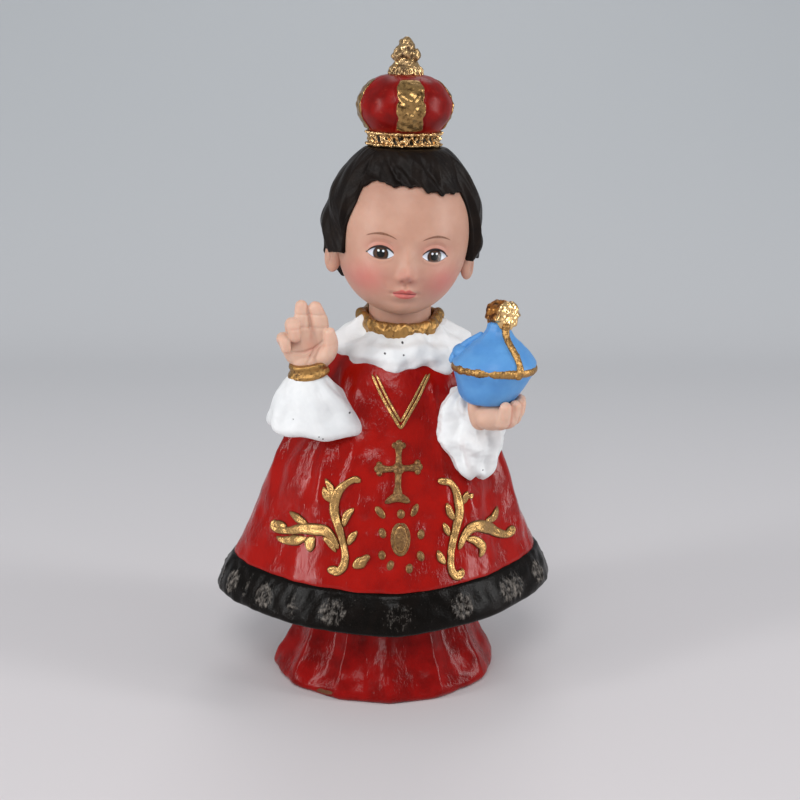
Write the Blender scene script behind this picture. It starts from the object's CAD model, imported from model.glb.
# Painted resin figurine of a robed child with an orb and a crown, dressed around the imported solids.
# Shapes are worked out in millimetres with numpy and turned into metres when a mesh is made.
import math
import bpy
import numpy as np
from mathutils import Matrix, Vector


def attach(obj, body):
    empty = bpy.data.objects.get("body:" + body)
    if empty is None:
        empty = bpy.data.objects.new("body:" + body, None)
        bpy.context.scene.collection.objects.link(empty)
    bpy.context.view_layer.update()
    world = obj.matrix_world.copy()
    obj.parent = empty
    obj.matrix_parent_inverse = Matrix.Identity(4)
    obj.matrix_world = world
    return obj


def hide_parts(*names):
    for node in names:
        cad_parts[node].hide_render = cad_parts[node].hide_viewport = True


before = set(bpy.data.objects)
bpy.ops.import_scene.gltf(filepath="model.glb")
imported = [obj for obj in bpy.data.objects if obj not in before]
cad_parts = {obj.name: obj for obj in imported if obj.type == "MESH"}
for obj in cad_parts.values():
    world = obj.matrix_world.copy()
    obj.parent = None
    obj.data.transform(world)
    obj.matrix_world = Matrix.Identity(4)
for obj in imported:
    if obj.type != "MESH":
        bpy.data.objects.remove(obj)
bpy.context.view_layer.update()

mm = 0.001
turn = 2 * math.pi


# Number helpers

def ease(low, high, value):
    # 0 below low, 1 above high, and 3t^2 - 2t^3 between them
    t = np.clip((value - low) / (high - low), 0, 1)
    return t * t * (3 - 2 * t)


def bump(value, width):
    # bell curve e^-(value/width)^2
    return np.exp(-(value / width) ** 2)


def lumps(x, y, z, size, seed, waves=14):
    # smooth unevenness: the mean of plane sine waves about size mm long, in seeded random directions
    rng = np.random.default_rng(seed)
    total = np.zeros(np.broadcast(x, y, z).shape)
    for _ in range(waves):
        d = rng.normal(size=3)
        d *= turn / (size * rng.uniform(0.7, 1.5)) / np.linalg.norm(d)
        total = total + np.sin(d[0] * x + d[1] * y + d[2] * z + rng.uniform(0, turn))
    return total / math.sqrt(waves)


def roundLumps(reach, angles, height, size, seed):
    # the same unevenness over (across * sin angle, deep * cos angle, height), for a reach of (across, deep)
    return lumps(reach[0] * np.sin(angles), reach[1] * np.cos(angles), height, size, seed)


def smoothPath(points, count):
    # cubic curve through the points, its slope at each half the step between the two beside it,
    # cut into count places of equal arc length
    p = np.asarray(points, float)
    p = np.vstack([2 * p[0] - p[1], p, 2 * p[-1] - p[-2]])
    t = np.linspace(0, 1, 25)[:-1, None]
    a, b, c, d = p[:-3, None], p[1:-2, None], p[2:-1, None], p[3:, None]
    curve = 2 * b + (c - a) * t + (2 * a - 5 * b + 4 * c - d) * t ** 2 + (3 * b - a - 3 * c + d) * t ** 3
    curve = np.vstack([0.5 * curve.reshape(-1, p.shape[1]), p[-2]])
    length = np.concatenate([[0], np.cumsum(np.linalg.norm(np.diff(curve, axis=0), axis=1))])
    places = np.linspace(0, length[-1], count)
    return np.stack([np.interp(places, length, curve[:, k]) for k in range(p.shape[1])], 1)


def evenAngles(count):
    # one row of count angles evenly spaced round a full turn
    return np.linspace(0, turn, count, endpoint=False)[None]


def turned(rows, levels, count, scale=1.0):
    # what a turned shape needs: its angles, then the radius and the height of each level of its profile
    path = smoothPath(rows, levels) * scale
    return evenAngles(count), path[:, :1], path[:, 1:] + np.zeros((1, count))


def ringGrid(x, y, radius, angles, height, deep=1.0):
    # rings round an upright axis at (x, y): (x + r sin a, y - r deep cos a, height)
    grid = np.broadcast_arrays(x + radius * np.sin(angles), y - radius * np.cos(angles) * deep, height)
    return np.stack(grid, -1)


# Mesh helpers: a shell is a dictionary of corners, four-sided and three-sided faces, and values per corner

def shellOf(grid, low=None, high=None, **layers):
    # a grid of rows x columns x 3 whose columns run round; low and high are the points that close its ends
    rows, columns = grid.shape[:2]
    ids = np.arange(rows * columns).reshape(rows, columns)
    after = np.roll(ids, -1, axis=1)
    quads = np.stack([ids[:-1], after[:-1], after[1:], ids[1:]], -1).reshape(-1, 4)
    corners, triangles = [grid.reshape(-1, 3)], []
    layers = {k: np.broadcast_to(v, (rows, columns)) for k, v in layers.items()}
    values = {k: [v.reshape(-1)] for k, v in layers.items()}
    for end, (row, point, order) in enumerate(((0, low, 1), (-1, high, -1))):
        corners.append((grid[row].mean(0) if point is None else np.asarray(point, float))[None])
        fan = np.stack([np.full(columns, rows * columns + end), after[row], ids[row]], -1)
        triangles.append(fan[:, ::order])
        for k, v in layers.items():
            values[k].append(v[row].mean()[None])
    return {"corners": np.vstack(corners), "quads": quads, "triangles": np.vstack(triangles),
            "layers": {k: np.concatenate(v) for k, v in values.items()}}


def hoopShell(grid):
    # a grid of rows x columns x 3 that closes on itself both ways round
    rows, columns = grid.shape[:2]
    ids = np.arange(rows * columns).reshape(rows, columns)
    after, nextRow = np.roll(ids, -1, axis=1), np.roll(ids, -1, axis=0)
    quads = np.stack([ids, after, np.roll(nextRow, -1, axis=1), nextRow], -1).reshape(-1, 4)
    return {"corners": grid.reshape(-1, 3), "quads": quads, "triangles": np.zeros((0, 3), int), "layers": {}}


def ballShell(centre, radii, around=32, rows=20):
    # an ellipsoid: centre + radii * (cos rise * sin angle, -cos rise * cos angle, sin rise)
    rise = np.linspace(-math.pi / 2, math.pi / 2, rows + 2)[1:-1, None]
    unit = ringGrid(0, 0, np.cos(rise), evenAngles(around), np.sin(rise))
    c, r = np.asarray(centre, float), np.asarray(radii, float)
    return shellOf(c + unit * r, c - [0, 0, r[2]], c + [0, 0, r[2]])


def tubeShell(points, radii, around=20, count=24, flat=1.0):
    # a round-ended limb: rings of the given radii carried along a smooth path
    path = smoothPath(points, count)
    tangent = np.gradient(path, axis=0)
    tangent /= np.linalg.norm(tangent, axis=1, keepdims=True)
    facing = np.array([[0.0, -1.0, 0.0]])
    normal = facing - (facing * tangent).sum(1, keepdims=True) * tangent
    normal /= np.linalg.norm(normal, axis=1, keepdims=True)
    side = np.cross(tangent, normal)
    radius = np.interp(np.linspace(0, 1, count), np.linspace(0, 1, len(radii)), radii)
    caps = np.array([0.35, 0.75, 0.95])
    start = path[:1] - tangent[:1] * radius[0] * np.sqrt(1 - caps ** 2)[:, None]
    stop = path[-1:] + tangent[-1:] * radius[-1] * np.sqrt(1 - caps[::-1] ** 2)[:, None]
    centre = np.vstack([start, path, stop])
    size = np.concatenate([caps * radius[0], radius, caps[::-1] * radius[-1]])[:, None, None]
    side, normal = (np.pad(v, ((3, 3), (0, 0)), mode="edge")[:, None] for v in (side, normal))
    angle = evenAngles(around)[..., None]
    grid = centre[:, None] + size * (side * np.sin(angle) + normal * np.cos(angle) * flat)
    return shellOf(grid, path[0] - tangent[0] * radius[0], path[-1] + tangent[-1] * radius[-1])


def meshFrom(name, shells):
    # joins shells into one mesh and turns each that is inside out
    corners, loops, sizes, start = [], [], [], 0
    names = sorted({k for s in shells for k in s["layers"]})
    values = {k: [] for k in names}
    for s in shells:
        v, q, t = s["corners"], s["quads"], s["triangles"]
        halves = np.vstack([q[:, [0, 1, 2]], q[:, [0, 2, 3]], t])
        a, b, c = v[halves[:, 0]], v[halves[:, 1]], v[halves[:, 2]]
        if (a * np.cross(b, c)).sum() < 0:
            q, t = q[:, ::-1], t[:, ::-1]
        corners.append(v)
        loops += [(q + start).reshape(-1), (t + start).reshape(-1)]
        sizes += [np.full(len(q), 4), np.full(len(t), 3)]
        for k in names:
            values[k].append(s["layers"].get(k, np.zeros(len(v))))
        start += len(v)
    corners, loops, sizes = np.vstack(corners), np.concatenate(loops), np.concatenate(sizes)
    mesh = bpy.data.meshes.new(name)
    mesh.vertices.add(len(corners))
    mesh.vertices.foreach_set("co", (corners * mm).astype(np.float32).ravel())
    mesh.loops.add(len(loops))
    mesh.loops.foreach_set("vertex_index", loops.astype(np.int32))
    mesh.polygons.add(len(sizes))
    starts = np.concatenate([[0], np.cumsum(sizes)[:-1]])
    mesh.polygons.foreach_set("loop_start", starts.astype(np.int32))
    mesh.polygons.foreach_set("use_smooth", np.ones(len(sizes), bool))
    for k in names:
        keepValues(mesh, k, np.concatenate(values[k]))
    mesh.update(calc_edges=True)
    mesh.validate()
    return mesh


def keepValues(mesh, name, values):
    # one number per corner, kept on the mesh for its material
    mesh.attributes.new(name, "FLOAT", "POINT").data.foreach_set("value", values.astype(np.float32))


def makePiece(name, shells, finish, node="figure"):
    # puts the shells into the scene as one piece of the object
    piece = bpy.data.objects.new(name, meshFrom(name, shells))
    bpy.context.scene.collection.objects.link(piece)
    piece.data.materials.append(finish.material)
    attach(piece, "root")
    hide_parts(node)
    return piece


def fuse(piece, voxel, rounds):
    # melts a piece's shells into one skin: voxel remesh, then smoothing, with the result kept as the mesh
    finish = piece.data.materials[0]
    melt = piece.modifiers.new("melt", "REMESH")
    melt.mode, melt.voxel_size = "VOXEL", voxel * mm
    soften = piece.modifiers.new("soften", "SMOOTH")
    soften.factor, soften.iterations = 0.5, rounds
    done = bpy.data.meshes.new_from_object(piece.evaluated_get(bpy.context.evaluated_depsgraph_get()))
    piece.modifiers.clear()
    piece.data = done
    done.materials.clear()
    done.materials.append(finish)
    done.polygons.foreach_set("use_smooth", np.ones(len(done.polygons), bool))
    return piece


def reshape(piece, move, **layers):
    # move(points, normals) gives new places in mm; layers are functions of points that give values
    mesh = piece.data
    flat = np.empty(len(mesh.vertices) * 3, np.float32)
    mesh.vertices.foreach_get("co", flat)
    points = flat.reshape(-1, 3).astype(float) / mm
    mesh.vertices.foreach_get("normal", flat)
    points = move(points, flat.reshape(-1, 3).astype(float))
    mesh.vertices.foreach_set("co", (points * mm).astype(np.float32).ravel())
    for name, work in layers.items():
        keepValues(mesh, name, work(points))
    mesh.update()


# Shader helpers

def tone(red, green, blue):
    # a colour as seen on screen, 0 to 255, as linear light
    parts = (((c / 255 + 0.055) / 1.055) ** 2.4 if c > 10 else c / 3294.6 for c in (red, green, blue))
    return (*parts, 1.0)


class Wire:
    # a shader socket whose arithmetic adds Math nodes
    def __init__(self, finish, socket):
        self.finish, self.socket = finish, socket

    def maths(self, operation, *values):
        # one Math node over the values
        node = self.finish.node("ShaderNodeMath", {"operation": operation}, dict(enumerate(values)))
        return Wire(self.finish, node.outputs[0])

    def __add__(self, other):
        return self.maths("ADD", self, other)

    def __sub__(self, other):
        return self.maths("SUBTRACT", self, other)

    def __rsub__(self, other):
        return self.maths("SUBTRACT", other, self)

    def __mul__(self, other):
        return self.maths("MULTIPLY", self, other)

    def __truediv__(self, other):
        return self.maths("DIVIDE", self, other)

    def __pow__(self, other):
        return self.maths("POWER", self, other)

    __radd__, __rmul__ = __add__, __mul__

    def size(self):
        # the value without its sign
        return self.maths("ABSOLUTE", self)

    def least(self, other):
        # the smaller of the two
        return self.maths("MINIMUM", self, other)

    def most(self, other):
        # the larger of the two
        return self.maths("MAXIMUM", self, other)

    def bell(self, width):
        # e^-(value/width)^2
        return self.maths("EXPONENT", (self / width) ** 2 * -1.0)

    def step(self, low, high):
        # smooth step from 0 at low to 1 at high
        node = self.finish.node("ShaderNodeMapRange", {"interpolation_type": "SMOOTHSTEP"},
                                {"Value": self, "From Min": low, "From Max": high})
        return Wire(self.finish, node.outputs[0])


def apart(first, second):
    # the length of a flat gap, from its two sides
    return (first ** 2 + second ** 2) ** 0.5


class Finish:
    # a material around one Principled shader, with coordinates in millimetres
    def __init__(self, name, gloss=0.5, **fixed):
        self.material = bpy.data.materials.new(name)
        self.material.use_nodes = True
        self.tree = self.material.node_tree
        self.tree.nodes.clear()
        self.shader = self.node("ShaderNodeBsdfPrincipled", {}, {"Specular IOR Level": gloss})
        output = self.node("ShaderNodeOutputMaterial", {}, {})
        self.tree.links.new(self.shader.outputs[0], output.inputs["Surface"])
        for key, value in fixed.items():
            self.shader.inputs[key.replace("_", " ")].default_value = value
        place = self.node("ShaderNodeTexCoord", {}, {}).outputs["Object"]
        self.place = self.vector("SCALE", {0: place, "Scale": 1 / mm})

    def node(self, kind, settings, inputs):
        # a node of any type, its settings first, then the values or links of its sockets
        node = self.tree.nodes.new(kind)
        for key, value in settings.items():
            setattr(node, key, value)
        for key, value in inputs.items():
            value = value.socket if isinstance(value, Wire) else value
            if isinstance(value, bpy.types.NodeSocket):
                self.tree.links.new(value, node.inputs[key])
            else:
                node.inputs[key].default_value = value
        return node

    def vector(self, operation, inputs):
        # one Vector Math node
        return self.node("ShaderNodeVectorMath", {"operation": operation}, inputs).outputs[0]

    def noise(self, size, detail=3.0, rough=0.55, stretch=None, place=None):
        # noise whose features are about size mm across, centred on 0.5
        place = place or self.place
        if stretch:
            place = self.vector("MULTIPLY", {0: place, 1: stretch})
        node = self.node("ShaderNodeTexNoise", {}, {"Vector": place, "Scale": 1 / size, "Detail": detail,
                                                    "Roughness": rough})
        return Wire(self, node.outputs[0])

    def value(self, name):
        # the number that the mesh keeps under this name
        return Wire(self, self.node("ShaderNodeAttribute", {"attribute_name": name}, {}).outputs["Fac"])

    def axes(self, place=None):
        # x, y and z of a place in mm
        node = self.node("ShaderNodeSeparateXYZ", {}, {0: place or self.place})
        return [Wire(self, socket) for socket in node.outputs]

    def mix(self, share, first, second):
        # the first colour where share is 0, the second where it is 1
        node = self.node("ShaderNodeMix", {"data_type": "RGBA"}, {0: share, 6: first, 7: second})
        return Wire(self, node.outputs[2])

    def layered(self, colour, *coats):
        # a colour with coats of (share, red, green, blue) laid over it in turn
        for share, *rgb in coats:
            colour = self.mix(share, colour, tone(*rgb))
        return colour

    def feed(self, **links):
        # links values to the shader's inputs
        for key, wire in links.items():
            self.tree.links.new(wire.socket, self.shader.inputs[key.replace("_", " ")])

    def relief(self, height, strength, depth):
        # bump whose full height is depth mm
        node = self.node("ShaderNodeBump", {}, {"Height": height, "Strength": strength, "Distance": depth * mm})
        self.tree.links.new(node.outputs[0], self.shader.inputs["Normal"])


print("helpers ready")


# Finishes

def softGloss(name, light, dark, rough=0.2, gloss=0.2):
    # thick glossy paint: brush clouds in the colour, upright brush streaks and soft swellings in the surface
    paint = Finish(name, gloss)
    cloud = paint.noise(5.0, 4).step(0.35, 0.7) * 0.75 + paint.noise(0.9, 3, 0.6).step(0.5, 0.8) * 0.2
    paint.feed(Base_Color=paint.mix(cloud, light, dark), Roughness=paint.noise(2.0, 3) * 0.2 + (rough - 0.13))
    streaks = paint.noise(0.6, 3, 0.55, (1, 1, 0.15)) * (paint.noise(5.0, 2).step(0.42, 0.68) * 0.85 + 0.15)
    paint.relief(streaks * 1.2 + paint.noise(0.35, 2) * 0.1 + paint.noise(2.2, 2) * 0.3, 0.7, 0.25)
    return paint


def mattePaint(name, light, dark, rough, grain, size, marks=()):
    # matte paint with clouding, a fine brushed grain of size mm and any casting pinholes
    paint = Finish(name, 0.35)
    colour = paint.mix(paint.noise(4.0, 4).step(0.3, 0.75) * 0.8 + paint.noise(size, 3) * 0.2, light, dark)
    paint.feed(Base_Color=pinholes(paint, colour, marks) if marks else colour)
    paint.feed(Roughness=paint.noise(2.5, 2) * 0.2 + (rough - 0.1))
    paint.relief(paint.noise(size, 4, 0.6), 0.7, grain)
    return paint


def goldPaint(name, light, deep, rough, grain, size=0.5, shade=0.5):
    # metallic paint: bright on high grain, brown where it is thin or lies in hollows
    paint = Finish(name)
    fine = paint.noise(size, 4, 0.65)
    thin = (fine * 0.6 + paint.noise(size * 5, 3) * 0.4).step(0.62 - shade * 0.2, 0.36)
    paint.feed(Base_Color=paint.mix(thin, light, deep), Metallic=0.92 - thin * 0.45, Roughness=thin * 0.22 + rough)
    paint.relief(fine, 0.9, grain)
    return paint


def pinholes(paint, colour, marks):
    # darkens small round marks given as (across, up, radius) on the front of the figure
    across, depth, up = paint.axes()
    dark = None
    for x, z, size in marks:
        spot = (size - apart(across - x, up - z)).step(-0.06, 0.08)
        dark = dark.most(spot) if dark else spot
    return paint.mix(dark * (depth * -1.0).step(6.0, 8.0), colour, tone(52, 48, 50))


redPaint = softGloss("glossRed", tone(154, 14, 5), tone(128, 8, 4))
whitePaint = mattePaint("matteWhite", tone(230, 231, 231), tone(218, 220, 221), 0.55, 0.1, 0.9, [
    [1.41, 71.66, 0.2], [1.39, 69.9, 0.22], [-2.01, 68.24, 0.2], [1.42, 68.08, 0.18], [-8.6, 57.81, 0.2],
    [-14.32, 54.03, 0.14], [-13.58, 53.55, 0.16], [16.2, 47.5, 0.14], [-19.0, 57.0, 0.1]])
bluePaint = mattePaint("matteBlue", tone(92, 152, 208), tone(74, 134, 196), 0.42, 0.10, 1.2)
dullGold = goldPaint("dullGold", tone(178, 136, 80), tone(84, 56, 26), 0.34, 0.14)
print("finishes ready")

# Outer robe: a bell whose radius follows a profile, drawn in to a rounded diamond at the hem

robe = {
    "rows": [[30.2, 26.4], [26.3, 34.5], [22.1, 45.0], [16.6, 58.5], [13.2, 66.0], [9.5, 69.2]],
    "depth": 0.82, "lean": 1.9, "cornerPower": 1.62, "foldDepth": 0.55, "hemTilt": 0.025,
    "foot": 25.6, "top": 69.0, "closed": 70.3, "grid": [100, 400],
    "ridges": [  # start x, z, end x, z, width, height of each soft fold on the front
        [-1.5, 48.5, -2.0, 40.5, 0.5, 0.30], [-3.4, 46.0, -4.2, 36.0, 0.6, 0.28], [12.6, 50.0, 14.6, 40.0, 0.8, 0.45],
        [-15.9, 51.5, -20.6, 39.0, 1.2, 0.95], [-12.6, 52.0, -14.6, 41.0, 1.0, 0.70],
        [-6.7, 52.5, -9.9, 43.0, 0.8, 0.60], [20.3, 49.0, 26.0, 31.0, 1.5, 0.90],
        [15.2, 40.0, 18.5, 27.5, 1.4, 0.45], [-9.3, 64.0, -9.4, 55.0, 0.8, 0.90],
        [-7.4, 61.0, -7.6, 52.0, 0.6, 0.45], [6.9, 62.0, 7.9, 54.0, 0.7, 0.70],
        [-5.6, 52.0, -6.0, 41.0, 1.2, 0.35], [8.5, 51.0, 9.6, 41.0, 0.7, 0.50], [10.2, 60.0, 11.5, 50.0, 0.9, 0.60],
    ],
}
robeRadii, robeHeights = smoothPath(robe["rows"], 300).T


def leanAt(z):
    # how far the robe's middle stands to +X at a height: the lean, eased in from the knees to the neck
    return robe["lean"] * ease(40, 75, z)


def broadFold(angle):
    # nine broad folds round the robe, closer together in front and behind
    return np.cos(9 * (angle + 0.089 * np.sin(2 * angle)))


def diamond(angle, power):
    # factor that draws a circle in to |x|^power + |y|^power = 1
    return (np.abs(np.sin(angle)) ** power + np.abs(np.cos(angle)) ** power + 1e-9) ** (-1 / power)


def robePoint(angle, z):
    # (lean + r sin a, -0.82 r cos a, z): r is the profile's radius and its folds, times the diamond's factor
    side = ease(0.2, 0.75, np.abs(np.sin(angle / 2)) * 1.3)
    reach = (0.35 + 0.65 * ease(26.2, 34, z)) * broadFold(angle) * (0.45 + 0.55 * side)
    fold = robe["foldDepth"] * reach * (1 - ease(60, 67, z))
    pleat = 0.45 * ease(38, 47, z) * (1 - ease(60, 66, z)) * np.cos(14 * angle + 0.5) * side
    power = 2 + (robe["cornerPower"] - 2) * (1 - ease(26, 48, z))
    r = (np.interp(z, robeHeights, robeRadii) + fold + pleat) * diamond(angle, power)
    x = leanAt(z) + r * np.sin(angle)
    crease = 0.0
    for x0, z0, x1, z1, width, height in robe["ridges"]:
        dx, dz = x1 - x0, z1 - z0
        t = np.clip(((x - x0) * dx + (z - z0) * dz) / (dx ** 2 + dz ** 2), 0, 1)
        gap = np.hypot(x - x0 - t * dx, z - z0 - t * dz)
        crease = crease + height * bump(gap, width) * np.sin(np.pi * np.clip(0.15 + 0.7 * t, 0, 1))
    r = r + crease * ease(-0.1, 0.3, np.cos(angle)) + 0.12 * lumps(x, -r * np.cos(angle), z, 5.0, 3)
    height = z + robe["hemTilt"] * x * (1 - ease(28, 42, z))
    return ringGrid(leanAt(z), 0, r, angle, height, robe["depth"])


def onRobe(across, up):
    # the front of the robe over (across, up): the angle is stepped until the point's x is the one asked for
    across, up = np.broadcast_arrays(np.asarray(across, float), np.asarray(up, float))
    z = up - robe["hemTilt"] * across * (1 - ease(28, 42, up))
    radius = np.interp(z, robeHeights, robeRadii)
    angle = np.arcsin(np.clip((across - leanAt(z)) / radius, -0.95, 0.95))
    for _ in range(14):
        error = across - robePoint(angle, z)[..., 0]
        angle = angle + 0.8 * error / (radius * np.maximum(0.35, np.cos(angle)))
    return robePoint(angle, z)


def robeFrame(across, up):
    # a point on the robe's front and its normal, from the surface's two slopes
    point, d = onRobe(across, up), 0.05
    normal = np.cross(onRobe(across + d, up) - point, onRobe(across, up + d) - point)
    return point, normal / np.linalg.norm(normal, axis=-1, keepdims=True)


levels, count = robe["grid"]
robeGrid = robePoint(evenAngles(count), np.linspace(robe["foot"], robe["top"], levels)[:, None])
makePiece("robe", [shellOf(robeGrid, (0, 0, robe["foot"]), (robe["lean"], 0, robe["closed"]))], redPaint)

# Dark border on the hem: an upright band with rosettes and leaves in low relief, dry-brushed pale

hem = {
    "rows": [[14.0, 20.5], [25.0, 19.5], [31.6, 18.5], [33.1, 18.6], [33.6, 19.6], [32.6, 22.4], [31.1, 25.4],
             [30.4, 26.0], [28.0, 26.2]],
    "repeats": 15, "cell": 12.4, "leaf": 6.2, "relief": 0.34, "middle": 22.2, "reach": [33, -27],
    "second": 0.945, "secondReach": 31,  # a rosette that stands between two of the others
    "limit": [33.9, 28.0],  # the border stays within this, as the solid does
    "closed": [[0, 0, 21.9], [0, 0, 25.9]], "grid": [60, 860],
}


def rosette(across, up, size, squeeze, twist, dot, dotSize):
    # a bell-shaped ring cut into eight petals by a cosine of the bearing, and a bell for the dot in it
    gap = np.hypot(across, up * squeeze)
    petals = 0.6 + 0.4 * np.cos(8 * np.arctan2(up, across) + twist)
    return bump(gap - size, 0.6) * petals + dot * bump(gap, dotSize)


angles, rowRadius, height = turned(hem["rows"], *hem["grid"])
outer = ease(29.0, 31.0, rowRadius)
oval = diamond(angles, robe["cornerPower"])
fromFront = (angles + math.pi) % turn - math.pi
spaced = angles + 0.105 * bump(fromFront + 0.942, 0.35) - 0.044 * bump(fromFront + 0.375, 0.25)
cell = (spaced * hem["repeats"] / turn + 0.51) % 1.0 - 0.5
across, up = cell * hem["cell"] * (0.9 + 0.1 * oval), height - hem["middle"]
secondAcross = (angles - hem["second"]) * hem["secondReach"]
petals = rosette(across, up, 1.7, 1.05, 0.6, 0.8, 0.7) + rosette(secondAcross, up, 1.5, 1, 0, 1, 0.5)
leafX = np.abs(across) - hem["leaf"]
leaf = bump(leafX - 0.25 * np.sin(up * 2.2), 0.5) * bump(up, 1.8) * (0.6 + 0.4 * np.cos(up * 4.5))
quiet = 1 - 0.9 * ease(-16, -11, hem["reach"][0] * np.sin(angles)) * (np.cos(angles) > 0)
motif = np.clip(petals, 0, 1.2) + 0.8 * np.clip(leaf, 0, 1.2) * quiet
nearest = np.minimum(np.hypot(across, up * 1.05), np.hypot(secondAcross, up))
halo = np.maximum(1 - ease(2.2, 3.1, nearest), bump(leafX, 0.9) * bump(up, 2.4) * quiet)
motif = motif * (1 + 0.35 * roundLumps(hem["reach"], angles, height, 1.5, 8))
radius = (rowRadius + robe["foldDepth"] * 0.35 * broadFold(angles)) * oval
radius = radius + outer * hem["relief"] * motif * (0.5 + 0.5 * ease(18.6, 19.6, height))
radius = radius + 0.1 * outer * roundLumps(hem["reach"], angles, height, 3.5, 9)
border = ringGrid(0, 0, radius, angles, height + robe["hemTilt"] * radius * np.sin(angles), robe["depth"])
limit = np.array(hem["limit"])
border[..., :2] = np.clip(border[..., :2], -limit, limit)
brushed = (0.6 * motif + 0.45 * halo) * outer * (0.5 + 0.5 * ease(3, 15, np.abs(border[..., 0])))

borderPaint = Finish("borderPaint", 0.1)
raised = borderPaint.value("brushed")
streak = borderPaint.noise(0.4, 4, 0.75, (1, 1, 0.35))
worn = (raised * 0.55 + streak * 1.7 + borderPaint.noise(1.1, 3) * 0.6).step(1.36, 1.98)
ground = borderPaint.mix(borderPaint.noise(3.0, 3).step(0.4, 0.7), tone(9, 6, 4), tone(16, 11, 8))
borderPaint.feed(Base_Color=borderPaint.mix(worn * 0.7, ground, tone(146, 138, 130)), Roughness=worn * 0.35 + 0.26)
borderPaint.relief(borderPaint.noise(0.5, 4, 0.6), 0.5, 0.12)
makePiece("hemBorder", [shellOf(border, *hem["closed"], brushed=np.clip(brushed, 0, 1.3))], borderPaint)

# Under-robe: a red flared foot with soft uneven flutes, chipped at the lower left of the front

skirt = {"rows": [[21.3, 0.0], [22.1, 0.7], [22.25, 1.8], [21.2, 4.0], [18.3, 9.0], [16.3, 15.0], [15.0, 21.5]],
         "flutes": 12, "fluteDepth": 1.1, "chip": [-12.6, -14.6, 1.0], "centre": 0.2, "depth": 0.84,
         "closed": [[0.2, 0, 0], [0.2, 0, 21.5]], "grid": [64, 320]}
angles, rowRadius, height = turned(skirt["rows"], *skirt["grid"])
fade = (1 - ease(13, 22, height)) * (0.25 + 0.75 * ease(0, 5, height))
flute = np.cos(skirt["flutes"] * (angles + 0.07 * np.sin(2 * angles + 0.6)))
flute = 1 - 2 * np.abs(0.5 - 0.5 * flute) ** 0.62
radius = rowRadius + skirt["fluteDepth"] * fade * (0.75 * flute + 0.35 * np.sin(5 * angles + 1))
radius = radius + 0.09 * roundLumps((22, -22), angles, height, 4.0, 5) * (1 - ease(16, 20, height))
foot = ringGrid(skirt["centre"], 0, radius, angles, np.clip(height, 0, None), skirt["depth"])
gap = np.linalg.norm((foot - skirt["chip"]) * [0.55, 0.6, 1.4], axis=-1)
chipped = 1 - ease(0.7, 1.05, gap + 0.5 * lumps(*np.moveaxis(foot, -1, 0), 1.6, 6))
foot[..., :2] *= (1 - 0.012 * chipped)[..., None]
skirtPaint = softGloss("skirtRed", tone(140, 11, 8), tone(112, 7, 5), 0.22, 0.13)
dusty = skirtPaint.mix(skirtPaint.noise(4.5, 4).step(0.35, 0.7), tone(140, 11, 8), tone(108, 7, 5))
skirtPaint.feed(Base_Color=skirtPaint.layered(
    dusty, (skirtPaint.noise(0.5, 4, 0.7, (1, 1, 0.25)).step(0.62, 0.8) * 0.3, 170, 70, 58),
    (skirtPaint.value("chipped").step(0.35, 0.6), 104, 66, 44)))
makePiece("underRobe", [shellOf(foot, *skirt["closed"], chipped=chipped)], skirtPaint)
print("robes ready")

# Ruff: a thick lumpy white cape over the shoulders

ruff = {"rows": [[0.5, -2.4], [0.80, -2.7], [0.95, -2.0], [1.0, -0.6], [1.0, 0.6], [0.95, 2.0], [0.84, 3.2],
                 [0.71, 4.6], [0.62, 5.6]],
        "radius": 13.6, "height": 67.2, "centre": 2.4, "depth": 0.88, "dip": 1.4, "reach": [13, -13],
        "closed": [[2.4, 0, 64.8], [2.0, 0, 72.6]], "grid": [64, 340]}
angles, rowRadius, rise = turned(ruff["rows"], *ruff["grid"])
swell = 0.25 * (np.cos(9 * angles + 0.7) + 0.5 * np.sin(14 * angles))
swell = swell + 0.5 * roundLumps(ruff["reach"], angles, rise, 4.5, 21)
radius = rowRadius * ruff["radius"] + swell * ease(0.55, 0.8, rowRadius)
radius = radius + 0.06 * roundLumps(ruff["reach"], angles, rise, 1.8, 22)
lift = -ruff["dip"] * ease(-0.1, 1, np.cos(angles)) * ease(1.5, 4.6, rise) + 0.4 * np.sin(8 * angles)
lift = lift + 0.3 * np.sin(5 * angles + 1) + 0.35 * roundLumps(ruff["reach"], angles, rise, 5, 23)
ruffGrid = ringGrid(ruff["centre"], 0, radius, angles, ruff["height"] + rise + lift, ruff["depth"])
makePiece("ruff", [shellOf(ruffGrid, *ruff["closed"])], whitePaint)

# Gilt collar: a scalloped leafy edge that dips in front, round a short neck

collar = {"rows": [[6.0, -4.5], [7.6, -3.4], [8.1, -1.9], [8.25, -1.0], [8.0, -0.4], [7.5, 0.1], [7.0, 0.2],
                   [6.5, -0.2], [6.1, -2.4]],
          "centre": 1.7, "height": 74.2, "dip": 1.3, "scallops": 8, "depth": 1.03,
          "closed": [[1.7, 0, 69.4], [1.7, 0, 71.5]], "grid": [46, 300]}
angles, rowRadius, rise = turned(collar["rows"], *collar["grid"])
scallop = np.cos(collar["scallops"] * angles)
leafy = 0.5 * scallop + 0.2 * np.sin(19 * angles + 2) + 0.12 * np.sin(31 * angles)
radius = rowRadius + 0.14 * roundLumps((8, 8), angles, rise, 1.3, 31) + 0.2 * scallop
height = collar["height"] + rise - collar["dip"] * ease(-0.1, 1, np.cos(angles))
height = height + leafy * ease(-3.5, 0, rise) * ease(6.6, 8.4, rowRadius)
collarGrid = ringGrid(collar["centre"], 0, radius, angles, height, collar["depth"])
makePiece("collarTrim", [shellOf(collarGrid, *collar["closed"])], dullGold)
print("ruff and collar ready")

# Head: an egg tilted to the viewer's right, with a calm child's face on even proportions

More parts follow.
